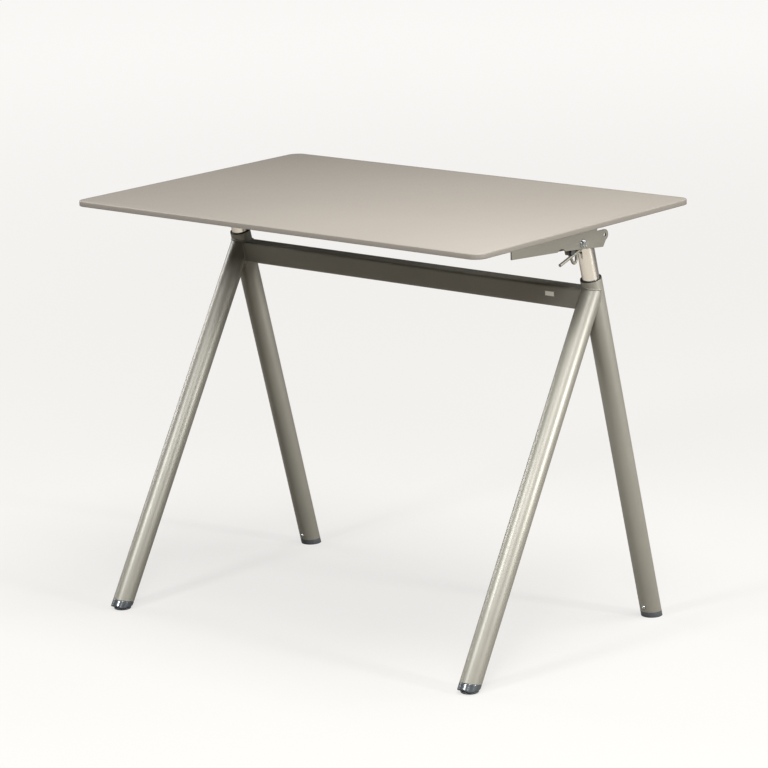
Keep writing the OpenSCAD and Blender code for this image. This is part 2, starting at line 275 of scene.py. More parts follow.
def build_weld_tree():
    """A weld bead: a round bead along a path, with overlapping ripples at a steady spacing."""
    tree, inputs, outputs = new_tree("Rippled weld bead")
    tree_input(tree, "Bead Radius", "NodeSocketFloat", 0.002)
    tree_input(tree, "Ripple Spacing", "NodeSocketFloat", 0.0016)
    tree_input(tree, "Ripple Height", "NodeSocketFloat", 0.0003)
    tree_input(tree, "Finish", "NodeSocketMaterial")
    nodes, link = tree.nodes, tree.links.new

    path = nodes.new("GeometryNodeMeshToCurve")
    resampled = nodes.new("GeometryNodeResampleCurve")
    resampled.mode = "LENGTH"
    link(inputs.outputs["Geometry"], path.inputs["Mesh"])
    link(path.outputs["Curve"], resampled.inputs["Curve"])
    link(inputs.outputs["Ripple Spacing"], resampled.inputs["Length"])

    section = nodes.new("GeometryNodeCurvePrimitiveCircle")
    section.inputs["Resolution"].default_value = 12
    link(inputs.outputs["Bead Radius"], section.inputs["Radius"])
    bead = nodes.new("GeometryNodeCurveToMesh")
    bead.inputs["Fill Caps"].default_value = True
    link(resampled.outputs["Curve"], bead.inputs["Curve"])
    link(section.outputs["Curve"], bead.inputs["Profile Curve"])

    ripple = nodes.new("GeometryNodeMeshUVSphere")
    ripple.inputs["Segments"].default_value = 14
    ripple.inputs["Rings"].default_value = 8
    swollen = calculate(tree, "ADD", inputs.outputs["Bead Radius"], inputs.outputs["Ripple Height"])
    link(swollen, ripple.inputs["Radius"])

    tangent = nodes.new("GeometryNodeInputTangent")
    align = nodes.new("FunctionNodeAlignRotationToVector")
    align.axis = "Z"
    link(tangent.outputs["Tangent"], align.inputs["Vector"])
    places = nodes.new("GeometryNodeInstanceOnPoints")
    places.inputs["Scale"].default_value = (1, 1, 0.55)
    link(resampled.outputs["Curve"], places.inputs["Points"])
    link(ripple.outputs["Mesh"], places.inputs["Instance"])
    link(align.outputs["Rotation"], places.inputs["Rotation"])

    joined = nodes.new("GeometryNodeJoinGeometry")
    link(bead.outputs["Mesh"], joined.inputs["Geometry"])
    link(places.outputs["Instances"], joined.inputs["Geometry"])
    end_tree(tree, joined.outputs["Geometry"], inputs, outputs)
    return tree


def build_fastener_tree():
    """Sets a copy of one fastener at each point, turned by a random amount."""
    tree, inputs, outputs = new_tree("Fasteners at points")
    tree_input(tree, "Fastener", "NodeSocketObject")
    tree_input(tree, "Most Turn", "NodeSocketFloat", 2 * math.pi)
    tree_input(tree, "Turn Seed", "NodeSocketInt", 7)
    tree_input(tree, "Finish", "NodeSocketMaterial")
    nodes, link = tree.nodes, tree.links.new

    fastener = nodes.new("GeometryNodeObjectInfo")
    link(inputs.outputs["Fastener"], fastener.inputs["Object"])
    turn = nodes.new("FunctionNodeRandomValue")
    turn.data_type = "FLOAT"
    link(inputs.outputs["Most Turn"], turn.inputs["Max"])
    link(inputs.outputs["Turn Seed"], turn.inputs["Seed"])
    about_z = nodes.new("ShaderNodeCombineXYZ")
    link(turn.outputs["Value"], about_z.inputs["Z"])
    places = nodes.new("GeometryNodeInstanceOnPoints")
    link(inputs.outputs["Geometry"], places.inputs["Points"])
    link(fastener.outputs["Geometry"], places.inputs["Instance"])
    link(about_z.outputs["Vector"], places.inputs["Rotation"])
    end_tree(tree, places.outputs["Instances"], inputs, outputs)
    return tree


def path_mesh(name, points, closed=False):
    """A line of edges through points."""
    edges = [(index, index + 1) for index in range(len(points) - 1)]
    if closed:
        edges.append((len(points) - 1, 0))
    mesh = bpy.data.meshes.new(name)
    mesh.from_pydata([tuple(point) for point in points], edges, [])
    return mesh


# ---- Shader groups ---------------------------------------------------------------------

FLOAT, COLOUR, VECTOR = "NodeSocketFloat", "NodeSocketColor", "NodeSocketVector"


def new_group(name, inputs, outputs):
    """A shader node group with named inputs {name: (kind, default)} and outputs {name: kind}."""
    group = bpy.data.node_groups.new(name, "ShaderNodeTree")
    for socket, (kind, default) in inputs.items():
        group.interface.new_socket(socket, in_out="INPUT", socket_type=kind).default_value = default
    for socket, kind in outputs.items():
        group.interface.new_socket(socket, in_out="OUTPUT", socket_type=kind)
    return group, group.nodes.new("NodeGroupInput").outputs, group.nodes.new("NodeGroupOutput").inputs


def noise(group, vector, scale, detail, roughness=0.5):
    """The value of a noise texture driven by a vector and a scale socket."""
    texture = group.nodes.new("ShaderNodeTexNoise")
    texture.inputs["Detail"].default_value = detail
    texture.inputs["Roughness"].default_value = roughness
    group.links.new(vector, texture.inputs["Vector"])
    group.links.new(scale, texture.inputs["Scale"])
    return texture.outputs["Fac"]


def mix(group, kind, factor, first, second):
    """Mixes two sockets of one kind by a factor socket."""
    node = group.nodes.new("ShaderNodeMix")
    node.data_type = kind
    for socket, value in (("Factor", factor), ("A", first), ("B", second)):
        group.links.new(value, node.inputs[socket])
    return node.outputs["Result"]


def remap(group, value, low, high, to_low, to_high):
    """Maps a value from one range to another; each limit is a number or a socket."""
    node = group.nodes.new("ShaderNodeMapRange")
    group.links.new(value, node.inputs["Value"])
    for socket, limit in (("From Min", low), ("From Max", high), ("To Min", to_low), ("To Max", to_high)):
        if isinstance(limit, (int, float)):
            node.inputs[socket].default_value = limit
        else:
            group.links.new(limit, node.inputs[socket])
    return node.outputs["Result"]


def build_tone_group():
    """Uneven tone: a colour that drifts slowly between two shades, with fine specks of a third."""
    group, given, result = new_group(
        "Uneven tone",
        {
            "Vector": (VECTOR, (0, 0, 0)),
            "Colour": (COLOUR, (0.5, 0.5, 0.5, 1)),
            "Second Colour": (COLOUR, (0.4, 0.4, 0.4, 1)),
            "Speck Colour": (COLOUR, (0.3, 0.3, 0.3, 1)),
            "Drift Scale": (FLOAT, 4.0),
            "Speck Scale": (FLOAT, 900.0),
            "Speck Share": (FLOAT, 0.1),
        },
        {"Colour": COLOUR},
    )
    drift = noise(group, given["Vector"], given["Drift Scale"], detail=3)
    specks = noise(group, given["Vector"], given["Speck Scale"], detail=1)
    drift_amount = remap(group, drift, 0.35, 0.65, 0.0, 1.0)
    speck_amount = remap(group, specks, 0.5, 0.75, 0.0, given["Speck Share"])
    drifting = mix(group, "RGBA", drift_amount, given["Colour"], given["Second Colour"])
    speckled = mix(group, "RGBA", speck_amount, drifting, given["Speck Colour"])
    group.links.new(speckled, result["Colour"])
    return group


def build_grain_group():
    """Surface grain: a height made of a coarse and a fine noise, as on paint, mouldings or laminate."""
    group, given, result = new_group(
        "Surface grain",
        {
            "Vector": (VECTOR, (0, 0, 0)),
            "Coarse Scale": (FLOAT, 300.0),
            "Fine Scale": (FLOAT, 1500.0),
            "Fine Share": (FLOAT, 0.3),
        },
        {"Height": FLOAT},
    )
    coarse = noise(group, given["Vector"], given["Coarse Scale"], detail=2)
    fine = noise(group, given["Vector"], given["Fine Scale"], detail=1)
    group.links.new(mix(group, "FLOAT", given["Fine Share"], coarse, fine), result["Height"])
    return group


def build_handling_group():
    """Roughness with faint hand marks and rubbed patches."""
    group, given, result = new_group(
        "Handled surface",
        {
            "Vector": (VECTOR, (0, 0, 0)),
            "Roughness": (FLOAT, 0.4),
            "Smudge": (FLOAT, 0.08),
            "Smudge Scale": (FLOAT, 12.0),
            "Fine Scale": (FLOAT, 400.0),
        },
        {"Roughness": FLOAT},
    )
    smudge = noise(group, given["Vector"], given["Smudge Scale"], detail=4, roughness=0.6)
    fine = noise(group, given["Vector"], given["Fine Scale"], detail=2)
    marks = remap(group, calculate(group, "MULTIPLY", smudge, fine), 0.1, 0.4, -1.0, 1.0)
    roughness = calculate(group, "MULTIPLY_ADD", marks, given["Smudge"], given["Roughness"])
    group.links.new(roughness, result["Roughness"])
    return group


TONE, GRAIN, HANDLED = build_tone_group(), build_grain_group(), build_handling_group()

# ---- Finishes --------------------------------------------------------------------------


def tone(colour, second_colour, speck_colour, drift_scale, speck_scale, speck_share):
    """Values for the uneven tone."""
    return {
        "Colour": (*colour, 1),
        "Second Colour": (*second_colour, 1),
        "Speck Colour": (*speck_colour, 1),
        "Drift Scale": drift_scale,
        "Speck Scale": speck_scale,
        "Speck Share": speck_share,
    }


def grain(coarse_scale, fine_scale, fine_share):
    """Values for the surface grain."""
    return {"Coarse Scale": coarse_scale, "Fine Scale": fine_scale, "Fine Share": fine_share}


def handling(roughness, smudge, smudge_scale, fine_scale):
    """Values for the handled surface."""
    return {
        "Roughness": roughness,
        "Smudge": smudge,
        "Smudge Scale": smudge_scale,
        "Fine Scale": fine_scale,
    }


def build_finish(name, tone_values, grain_values, handling_values, bump_depth, fixed=None):
    """A material from the three shared groups; fixed holds plain values set on the shader itself."""
    material = bpy.data.materials.new(name)
    material.use_nodes = True
    tree = material.node_tree
    shader = tree.nodes["Principled BSDF"]
    coordinates = tree.nodes.new("ShaderNodeTexCoord")
    bump = tree.nodes.new("ShaderNodeBump")
    bump.inputs["Distance"].default_value = bump_depth
    tree.links.new(bump.outputs["Normal"], shader.inputs["Normal"])
    for group, values, result, target in (
        (TONE, tone_values, "Colour", shader.inputs["Base Color"]),
        (GRAIN, grain_values, "Height", bump.inputs["Height"]),
        (HANDLED, handling_values, "Roughness", shader.inputs["Roughness"]),
    ):
        node = tree.nodes.new("ShaderNodeGroup")
        node.node_tree = group
        node.name = node.label = group.name
        for socket, value in values.items():
            node.inputs[socket].default_value = value
        tree.links.new(coordinates.outputs["Object"], node.inputs["Vector"])
        tree.links.new(node.outputs[result], target)
    for socket, value in (fixed or {}).items():
        shader.inputs[socket].default_value = value
    return material


laminate = build_finish(
    "Warm grey fine-textured laminate",
    tone(
        (0.168, 0.154, 0.135), (0.161, 0.147, 0.129), (0.136, 0.125, 0.109),
        drift_scale=3, speck_scale=1400, speck_share=0.5,
    ),
    grain(coarse_scale=700, fine_scale=2200, fine_share=0.45),
    handling(0.56, smudge=0.035, smudge_scale=6, fine_scale=260),
    bump_depth=0.00006,
    fixed={"Specular IOR Level": 0.42},
)
edging = build_finish(
    "Grey plastic edge band",
    tone(
        (0.150, 0.138, 0.121), (0.142, 0.130, 0.114), (0.100, 0.091, 0.079),
        drift_scale=6, speck_scale=1500, speck_share=0.3,
    ),
    grain(coarse_scale=600, fine_scale=2400, fine_share=0.4),
    handling(0.5, smudge=0.04, smudge_scale=9, fine_scale=300),
    bump_depth=0.00003,
    fixed={"Specular IOR Level": 0.35},
)
frame_paint = build_finish(
    "Metallic olive-grey powder coat",
    tone(
        (0.196, 0.189, 0.161), (0.183, 0.176, 0.150), (0.280, 0.278, 0.256),
        drift_scale=9, speck_scale=1700, speck_share=0.45,
    ),
    grain(coarse_scale=420, fine_scale=1900, fine_share=0.4),
    handling(0.44, smudge=0.04, smudge_scale=14, fine_scale=500),
    bump_depth=0.00007,
    fixed={"Metallic": 0.3, "Specular IOR Level": 0.7},
)
chrome = build_finish(
    "Polished chrome",
    tone(
        (0.95, 0.92, 0.87), (0.93, 0.90, 0.85), (0.88, 0.85, 0.80),
        drift_scale=20, speck_scale=900, speck_share=0.15,
    ),
    grain(coarse_scale=120, fine_scale=1600, fine_share=0.2),
    handling(0.21, smudge=0.035, smudge_scale=30, fine_scale=120),
    bump_depth=0.000006,
    fixed={"Metallic": 0.93},
)
black_plastic = build_finish(
    "Charcoal moulded plastic",
    tone(
        (0.048, 0.054, 0.058), (0.042, 0.047, 0.051), (0.075, 0.077, 0.08),
        drift_scale=25, speck_scale=1300, speck_share=0.4,
    ),
    grain(coarse_scale=900, fine_scale=2600, fine_share=0.5),
    handling(0.5, smudge=0.08, smudge_scale=40, fine_scale=700),
    bump_depth=0.00008,
    fixed={"Specular IOR Level": 0.45},
)
seal_rubber = build_finish(
    "Dark brown sealing bead",
    tone(
        (0.050, 0.030, 0.018), (0.040, 0.024, 0.015), (0.080, 0.055, 0.038),
        drift_scale=30, speck_scale=1300, speck_share=0.3,
    ),
    grain(coarse_scale=500, fine_scale=1800, fine_share=0.4),
    handling(0.6, smudge=0.05, smudge_scale=40, fine_scale=700),
    bump_depth=0.00003,
)
bush_plastic = build_finish(
    "Black slide bush plastic",
    tone(
        (0.018, 0.018, 0.018), (0.014, 0.014, 0.014), (0.035, 0.035, 0.035),
        drift_scale=25, speck_scale=1300, speck_share=0.3,
    ),
    grain(coarse_scale=700, fine_scale=2400, fine_share=0.4),
    handling(0.62, smudge=0.06, smudge_scale=40, fine_scale=700),
    bump_depth=0.00004,
    fixed={"Specular IOR Level": 0.3},
)
slate_plastic = build_finish(
    "Slate grey half-gloss plastic",
    tone(
        (0.034, 0.041, 0.047), (0.030, 0.036, 0.042), (0.065, 0.074, 0.082),
        drift_scale=30, speck_scale=1500, speck_share=0.3,
    ),
    grain(coarse_scale=500, fine_scale=2200, fine_share=0.4),
    handling(0.24, smudge=0.06, smudge_scale=35, fine_scale=600),
    bump_depth=0.00004,
    fixed={"Specular IOR Level": 0.6},
)
zinc = build_finish(
    "Bright zinc plating",
    tone(
        (0.66, 0.68, 0.72), (0.60, 0.63, 0.66), (0.76, 0.76, 0.74),
        drift_scale=60, speck_scale=1800, speck_share=0.5,
    ),
    grain(coarse_scale=500, fine_scale=3000, fine_share=0.4),
    handling(0.19, smudge=0.06, smudge_scale=90, fine_scale=900),
    bump_depth=0.000008,
    fixed={"Metallic": 1.0},
)
spring_enamel = build_finish(
    "Black enamel on a pressed steel cylinder",
    tone(
        (0.020, 0.020, 0.022), (0.026, 0.026, 0.028), (0.05, 0.05, 0.05),
        drift_scale=20, speck_scale=1500, speck_share=0.3,
    ),
    grain(coarse_scale=300, fine_scale=1800, fine_share=0.3),
    handling(0.25, smudge=0.05, smudge_scale=20, fine_scale=500),
    bump_depth=0.00002,
)
label_film = build_finish(
    "Blank label film",
    tone(
        (0.93, 0.91, 0.86), (0.90, 0.88, 0.83), (0.60, 0.57, 0.50),
        drift_scale=90, speck_scale=1600, speck_share=0.3,
    ),
    grain(coarse_scale=400, fine_scale=2000, fine_share=0.3),
    handling(0.35, smudge=0.06, smudge_scale=60, fine_scale=500),
    bump_depth=0.00002,
)
FINISHES = {
    "laminate_top": laminate,
    "frame_paint": frame_paint,
    "chrome_tube": chrome,
    "black_plastic": black_plastic,
    "cap_grey": slate_plastic,
    "zinc": zinc,
    "spring_body": spring_enamel,
    "label": label_film,
}
for node, cad_object in NODES.items():
    cad_object.data.materials.clear()
    cad_object.data.materials.append(FINISHES[SLOT_OF[node]])

# ---- The table top ---------------------------------------------------------------------

TOP_CORNER_R = 0.025
BAND_THICKNESS = 0.0016
BAND_EDGE_R = BAND_THICKNESS - 0.0002
SEAM = 0.00015


def rings_round_top(bm, section):
    """Rings of vertices round the top; section is (inset from the outline, height) pairs."""
    rings = []
    for inset, height in section:
        outline = rounded_rectangle(TOP_HIGH.x, TOP_HIGH.y, TOP_CORNER_R, inset)
        rings.append([bm.verts.new((point.x, point.y, height)) for point in outline])
    return rings


def build_panel():
    """The laminated panel, with a fine seam where the edge band meets it."""
    bm = bmesh.new()
    rings = rings_round_top(bm, [
        (BAND_THICKNESS + SEAM, TOP_LOW.z),
        (BAND_THICKNESS, TOP_LOW.z + SEAM),
        (BAND_THICKNESS, TOP_HIGH.z - SEAM),
        (BAND_THICKNESS + SEAM, TOP_HIGH.z),
    ])
    stitch_rings(bm, rings, closed=False)
    panel = object_from_bmesh("table_top", bm, sharp_angle=60)
    finish_piece(panel, "tabletop", laminate, replaces=True)


def build_edge_band():
    """The thin band glued round the panel, rounded over at the top and the bottom."""
    bends, steps = [], 5
    for step in range(steps + 1):
        angle = math.radians(90) * step / steps
        bends.append((BAND_EDGE_R * (1 - math.sin(angle)), BAND_EDGE_R * (1 - math.cos(angle))))
    section = [(BAND_THICKNESS, TOP_LOW.z)] + [(inset, TOP_LOW.z + rise) for inset, rise in bends]
    section += [(inset, TOP_HIGH.z - rise) for inset, rise in reversed(bends)]
    section.append((BAND_THICKNESS, TOP_HIGH.z))
    bm = bmesh.new()
    stitch_rings(bm, rings_round_top(bm, section))
    edge_band = object_from_bmesh("table_edge_band", bm, sharp_angle=60)
    finish_piece(edge_band, "tabletop", edging)


# ---- The side frames -------------------------------------------------------------------


def column_origin(side):
    """The point where a column's axis meets the floor."""
    foot_y = COLUMN_HIGH.y - LEG_R / math.cos(COLUMN_LEAN) + math.tan(COLUMN_LEAN) * COLUMN_LOW.z
    return Vector((side * FRAME_X, foot_y, 0))


def leg_origin(side):
    """The point where a front leg's axis meets the floor."""
    return Vector((side * FRAME_X, LEG_FOOT_Y, 0))


# Walls, cuts and meeting points of the tubes, which no CAD box shows.
LEG_WALL = 0.002
COLUMN_RIM_HEIGHT = 0.701
JOINT_HEIGHT = 0.6813
JOINT_Y = column_origin(1).y - math.tan(COLUMN_LEAN) * JOINT_HEIGHT
LEG_FOOT_Y = -0.3084
LEG_AXIS = Vector((0, JOINT_Y - LEG_FOOT_Y, JOINT_HEIGHT)).normalized()
LEG_CUT_HEIGHT = 0.0165
LEG_CUT_TILT = math.radians(15)
BEAM_WALL = 0.002
BEAM_CORNER_R = 0.004
# Where a line along the beam misses both legs, it stops short of the frame's middle.
BEAM_MOST_REACH = FRAME_X - 0.006


def plane_cut(point, normal):
    """The place where a line along a tube's wall meets a plane."""

    def place(start, axis):
        return (point - start).dot(normal) / axis.dot(normal)

    return place


def saddle_cut(centre, other_axis, radius):
    """The place where a line along a tube's wall first meets a round tube."""

    def place(start, axis):
        across = axis - other_axis * axis.dot(other_axis)
        offset = (start - centre) - other_axis * (start - centre).dot(other_axis)
        a = across.dot(across)
        b = 2 * across.dot(offset)
        c = offset.dot(offset) - radius * radius
        return (-b - math.sqrt(max(b * b - 4 * a * c, 0))) / (2 * a)

    return place


def build_tube(node, origin, axis, low_cut, high_cut, edge):
    """A round leg tube whose two ends follow the given cuts, with slightly rounded rims."""
    front = axis.cross(X_AXIS).normalized()
    bore, facets = LEG_R - LEG_WALL, 96
    bm = bmesh.new()
    rings = []
    for angle in turns(facets):
        spoke = X_AXIS * math.cos(angle) + front * math.sin(angle)
        corners = []
        for radius, cut in ((bore, low_cut), (bore, high_cut), (LEG_R, high_cut), (LEG_R, low_cut)):
            corners.append(Vector((radius, cut(origin + spoke * radius, axis))))
        section = rounded_profile(corners, edge)
        rings.append([bm.verts.new(origin + spoke * point.x + axis * point.y) for point in section])
    stitch_rings(bm, rings)
    tube = object_from_bmesh(f"{node}_tube", bm)
    finish_piece(tube, node, frame_paint, replaces=True)


def build_column(label, side):
    """The rear leg, which is also the outer tube of the telescope."""
    origin = column_origin(side)
    floor_cut = plane_cut(Vector((0, 0, COLUMN_LOW.z)), Z_AXIS)
    rim = origin + COLUMN_AXIS * (COLUMN_RIM_HEIGHT / math.cos(COLUMN_LEAN))
    build_tube(f"column_{label}", origin, COLUMN_AXIS, floor_cut, plane_cut(rim, COLUMN_AXIS), edge=0.0005)


def build_front_leg(label, side):
    """The front leg, whose upper end is cut to sit on the column and whose foot is cut at a slant."""
    origin = leg_origin(side)
    cut_point = origin + LEG_AXIS * LEG_CUT_HEIGHT / LEG_AXIS.z
    foot_cut = plane_cut(cut_point, Vector((0, math.sin(LEG_CUT_TILT), math.cos(LEG_CUT_TILT))))
    saddle = saddle_cut(column_origin(side), COLUMN_AXIS, LEG_R)
    build_tube(f"front_leg_{label}", origin, LEG_AXIS, foot_cut, saddle, edge=0.0003)


def beam_end(y, z):
    """How far a line along the beam runs before it meets a column or a front leg."""
    reach = BEAM_MOST_REACH
    for foot_y, axis in ((column_origin(1).y, COLUMN_AXIS), (LEG_FOOT_Y, LEG_AXIS)):
        distance = abs((y - foot_y) * axis.z - z * axis.y)
        if distance < LEG_R:
            reach = min(reach, FRAME_X - math.sqrt(LEG_R * LEG_R - distance * distance))
    return reach


def beam_outline(inset=0.0):
    """Points round the beam's square section, its corners rounded and its sides divided."""
    half = (BEAM_HIGH.y - BEAM_LOW.y) / 2
    middle = (BEAM_LOW + BEAM_HIGH) / 2
    corners = rounded_rectangle(half, half, BEAM_CORNER_R, inset, steps=6)
    side_parts = 16
    points = []
    for index, corner in enumerate(corners):
        following = corners[(index + 1) % len(corners)]
        parts = side_parts if (following - corner).length > 2 * BEAM_CORNER_R else 1
        for part in range(parts):
            between = corner.lerp(following, part / parts)
            points.append((middle.y + between.x, middle.z + between.y))
    return points


def build_cross_beam():
    """The square tube between the side frames, its ends cut to sit on them."""
    bm = bmesh.new()
    rings = []
    outline, inner = beam_outline(), beam_outline(BEAM_WALL)
    for points, direction in ((outline, -1), (outline, 1), (inner, 1), (inner, -1)):
        rings.append([bm.verts.new((direction * beam_end(y, z), y, z)) for y, z in points])
    stitch_rings(bm, rings)
    beam = object_from_bmesh("cross_beam_tube", bm)
    finish_piece(beam, "cross_beam", frame_paint, replaces=True)


def build_weld(name, node, seam, radius):
    """A weld bead along a closed seam of the side frames."""
    settings = {
        "Bead Radius": radius,
        "Ripple Spacing": 0.0012,
        "Ripple Height": 0.0001,
        "Finish": frame_paint,
    }
    weld = run_tree(name, path_mesh("weld seam", seam, closed=True), WELD, settings)
    finish_piece(weld, node, frame_paint)


def build_welds(label, side):
    """The welds where the front leg meets its column and where the beam meets both."""
    front = LEG_AXIS.cross(X_AXIS).normalized()
    saddle = saddle_cut(column_origin(side), COLUMN_AXIS, LEG_R)
    leg_seam, seam_points = [], 120
    for angle in turns(seam_points):
        start = leg_origin(side) + (X_AXIS * math.cos(angle) + front * math.sin(angle)) * LEG_R
        leg_seam.append(start + LEG_AXIS * saddle(start, LEG_AXIS))
    build_weld(f"leg_weld_{label}", f"front_leg_{label}", leg_seam, radius=0.0016)
    beam_seam = [Vector((side * beam_end(y, z), y, z)) for y, z in beam_outline()]
    build_weld(f"beam_weld_{label}", "cross_beam", beam_seam, radius=0.0019)


WELD = build_weld_tree()
build_panel()
build_edge_band()
for label, side in SIDES.items():
    build_column(label, side)
    build_front_leg(label, side)
build_cross_beam()
for label, side in SIDES.items():
    build_welds(label, side)

# ---- Sheet metal, fittings and feet ----------------------------------------------------


def is_bracket_fold(edge):
    """True for the outer edge along which a tilt bracket's plate is folded into its flange."""
    near = 2e-5
    return all(
        abs(abs(vert.co.x) - BRACKET_OUTER_X) < near and abs(vert.co.z - TOP_LOW.z) < near
        for vert in edge.verts
    )


for label in SIDES:
    eased_copy(f"tilt_bracket_{label}", frame_paint, 0.0004, is_bracket_fold, fold_radius=0.0028)
    eased_copy(f"head_{label}", frame_paint, radius=0.0005)
    softened_copy(f"front_cap_{label}", slate_plastic, voxel=0.0005, passes=36)
    eased_copy(f"rear_foot_{label}", black_plastic, radius=0.0007)
    eased_copy(f"glide_{label}", black_plastic, radius=0.0008)
    eased_copy(f"guide_bush_{label}", bush_plastic, radius=0.0003)
    eased_copy(f"sliding_tube_{label}", chrome, radius=0.0004)
eased_copy("release_lever", frame_paint, radius=0.0004)
eased_copy("lever_guide", frame_paint, radius=0.0003)
# Partly painted shade: the lever hub is black plastic, and its black also stands for the deep shade beside
# the lever's root.
eased_copy("lever_hub", black_plastic, radius=0.0006)
eased_copy("lever_pin", zinc, radius=0.0004)


def build_bracket_seal(label, side):
    """A thin sealing bead in the gap between a tilt bracket's fold and the top, thinner at its two ends."""
    radius, end_radius, taper, tongue_length = 0.0009, 0.00054, 0.0005, 0.0335
    low, high = corners_of(f"tilt_bracket_{label}")
    front, rear = low.y, high.y - tongue_length
    tuck_share, facets = 0.75, 16
    middle_x, middle_z = side * (BRACKET_OUTER_X - radius * tuck_share), TOP_LOW.z - radius
    bm = bmesh.new()
    rings = []
    places = (front, front + taper, rear - taper, rear)
    for y, reach in zip(places, (end_radius, radius, radius, end_radius)):
        rings.append([
            bm.verts.new((middle_x + reach * math.cos(angle), y, middle_z + reach * math.sin(angle)))
            for angle in turns(facets)
        ])
    stitch_rings(bm, rings, closed=False)
    seal = object_from_bmesh(f"bracket_seal_{label}", bm, sharp_angle=60)
    finish_piece(seal, f"tilt_bracket_{label}", seal_rubber)


def build_label_border():
    """The thin raised border round the blank label."""
    low, high = corners_of("beam_label")
    middle, half = (low + high) / 2, (high - low) / 2
    width, corner_radius, proud = 0.0007, 0.0008, 0.0001
    raised_y = low.y - proud
    bm = bmesh.new()
    rings = []
    for inset, y in ((0.0, high.y), (0.0, raised_y), (width, raised_y), (width, high.y)):
        outline = rounded_rectangle(half.x, half.z, corner_radius, inset, steps=5)
        rings.append([bm.verts.new((middle.x + point.x, y, middle.z + point.y)) for point in outline])
    stitch_rings(bm, rings)
    finish_piece(object_from_bmesh("beam_label_border", bm), "beam_label", frame_paint)


for label, side in SIDES.items():
    build_bracket_seal(label, side)
build_label_border()

# ---- Screws, bolts, nuts and washers ---------------------------------------------------


def hex_radius(angle, across_flats):
    """The distance from a hexagon's middle to its edge in a direction."""
    from_flat = (angle + math.radians(30)) % math.radians(60) - math.radians(30)
    return across_flats / 2 / math.cos(from_flat)


def frame_on(origin, axis):
    """A placement whose local Z points along an axis."""
    return Matrix.Translation(origin) @ Z_AXIS.rotation_difference(axis).to_matrix().to_4x4()


def add_turned(bm, place, profile, closed=False, segments=72):
    """Adds a turned solid; profile is (radius, along) pairs, each a number or a function of the angle."""
    rings = []
    for radius, along in profile:
        ring = []
        for angle in turns(segments):
            reach = radius(angle) if callable(radius) else radius
            rise = along(angle) if callable(along) else along
            spoke = Vector((reach * math.cos(angle), reach * math.sin(angle), rise))
            ring.append(bm.verts.new(place @ spoke))
        rings.append(ring)
    stitch_rings(bm, rings, closed)


def add_hexagon(bm, place, across_flats, height, bore=0.0):
    """A bolt's dished head, its outer corners turned down, or with a bore a nut turned down at both ends."""
    face_share, dish_share, floor_share = 0.95, 0.54, 0.86
    face_radius = across_flats / 2 * face_share
    chamfer_slope = math.tan(math.radians(30))

    def hexagon(angle):
        return hex_radius(angle, across_flats)

    def low_chamfer(angle):
        return (hexagon(angle) - face_radius) * chamfer_slope

    def high_chamfer(angle):
        return height - low_chamfer(angle)

    if bore:
        lead = 0.0006
        profile = [(face_radius, 0.0), (hexagon, low_chamfer)]
        profile += [(hexagon, high_chamfer), (face_radius, height)]
        profile += [(bore + lead, height), (bore, height - lead), (bore, lead), (bore + lead, 0.0)]
    else:
        ease, dish_radius, dish_depth = 0.0001, across_flats / 2 * dish_share, 0.00035
        profile = [(lambda angle: hexagon(angle) - ease, 0.0), (hexagon, ease), (hexagon, high_chamfer)]
        profile += [(face_radius, height), (dish_radius, height)]
        profile.append((dish_radius * floor_share, height - dish_depth))
    add_turned(bm, place, profile, closed=bool(bore))


def add_threaded_shank(bm, place, radius, plain, length):
    """A bolt's shank: plain for a way, then a thread out to a chamfered tip."""
    pitch, depth, tip_length, tip_chamfer, run_out = 0.00125, 0.0006, 0.0008, 0.0012, 0.0015
    profile = [(radius, 0.0), (radius, plain)]
    crest = plain + pitch
    while crest < length - run_out:
        profile += [(radius - depth, crest - pitch / 2), (radius, crest)]
        crest += pitch
    profile += [(radius - depth, length - tip_length), (radius - tip_chamfer, length)]
    add_turned(bm, place, profile, segments=36)


def on_pivot(x, axis):
    """A placement on the line of the tilt pivots."""
    return frame_on(Vector((x, TILT_AXIS.y, TILT_AXIS.z)), axis)


def build_pivot_fasteners():
    """The tilt pivots: a hexagon bolt, two washers and a nut on each side frame."""
    flats, head_height, nut_bore = 0.0127, 0.0053, 0.00405
    shank_radius, thread_length, overlap = 0.004, 0.019, 0.0004
    bore, rim, thickness, edge = 0.0041, 0.008, 0.0016, 0.0003
    outline = [Vector(corner) for corner in ((bore, 0), (bore, thickness), (rim, thickness), (rim, 0))]
    washer_profile = [tuple(point) for point in rounded_profile(outline, edge)]
    washer_bm = bmesh.new()
    for label, side in SIDES.items():
        outward = X_AXIS * side
        bolt_end, bolt_top = sorted(side * corner[0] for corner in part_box(f"pivot_bolt_{label}"))
        nut_low, nut_high = sorted(side * corner[0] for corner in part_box(f"pivot_nut_{label}"))
        seat = bolt_top - head_height
        shank = seat - bolt_end
        bm = bmesh.new()
        add_hexagon(bm, on_pivot(side * seat, outward), flats, head_height)
        shank_place = on_pivot(side * (seat + overlap), -outward)
        add_threaded_shank(bm, shank_place, shank_radius, shank - thread_length, shank + overlap)
        bolt = object_from_bmesh(f"pivot_bolt_{label}_finished", bm, sharp_angle=25)
        finish_piece(bolt, f"pivot_bolt_{label}", zinc, replaces=True)
        bm = bmesh.new()
        add_hexagon(bm, on_pivot(side * nut_high, -outward), flats, nut_high - nut_low, nut_bore)
        nut = object_from_bmesh(f"pivot_nut_{label}_finished", bm, sharp_angle=25)
        finish_piece(nut, f"pivot_nut_{label}", zinc, replaces=True)
        for inner_face in (seat - thickness, nut_high):
            add_turned(washer_bm, on_pivot(side * inner_face, outward), washer_profile, closed=True)
    washers = object_from_bmesh("pivot_washers_finished", washer_bm)
    finish_piece(washers, "pivot_washers", zinc, replaces=True)


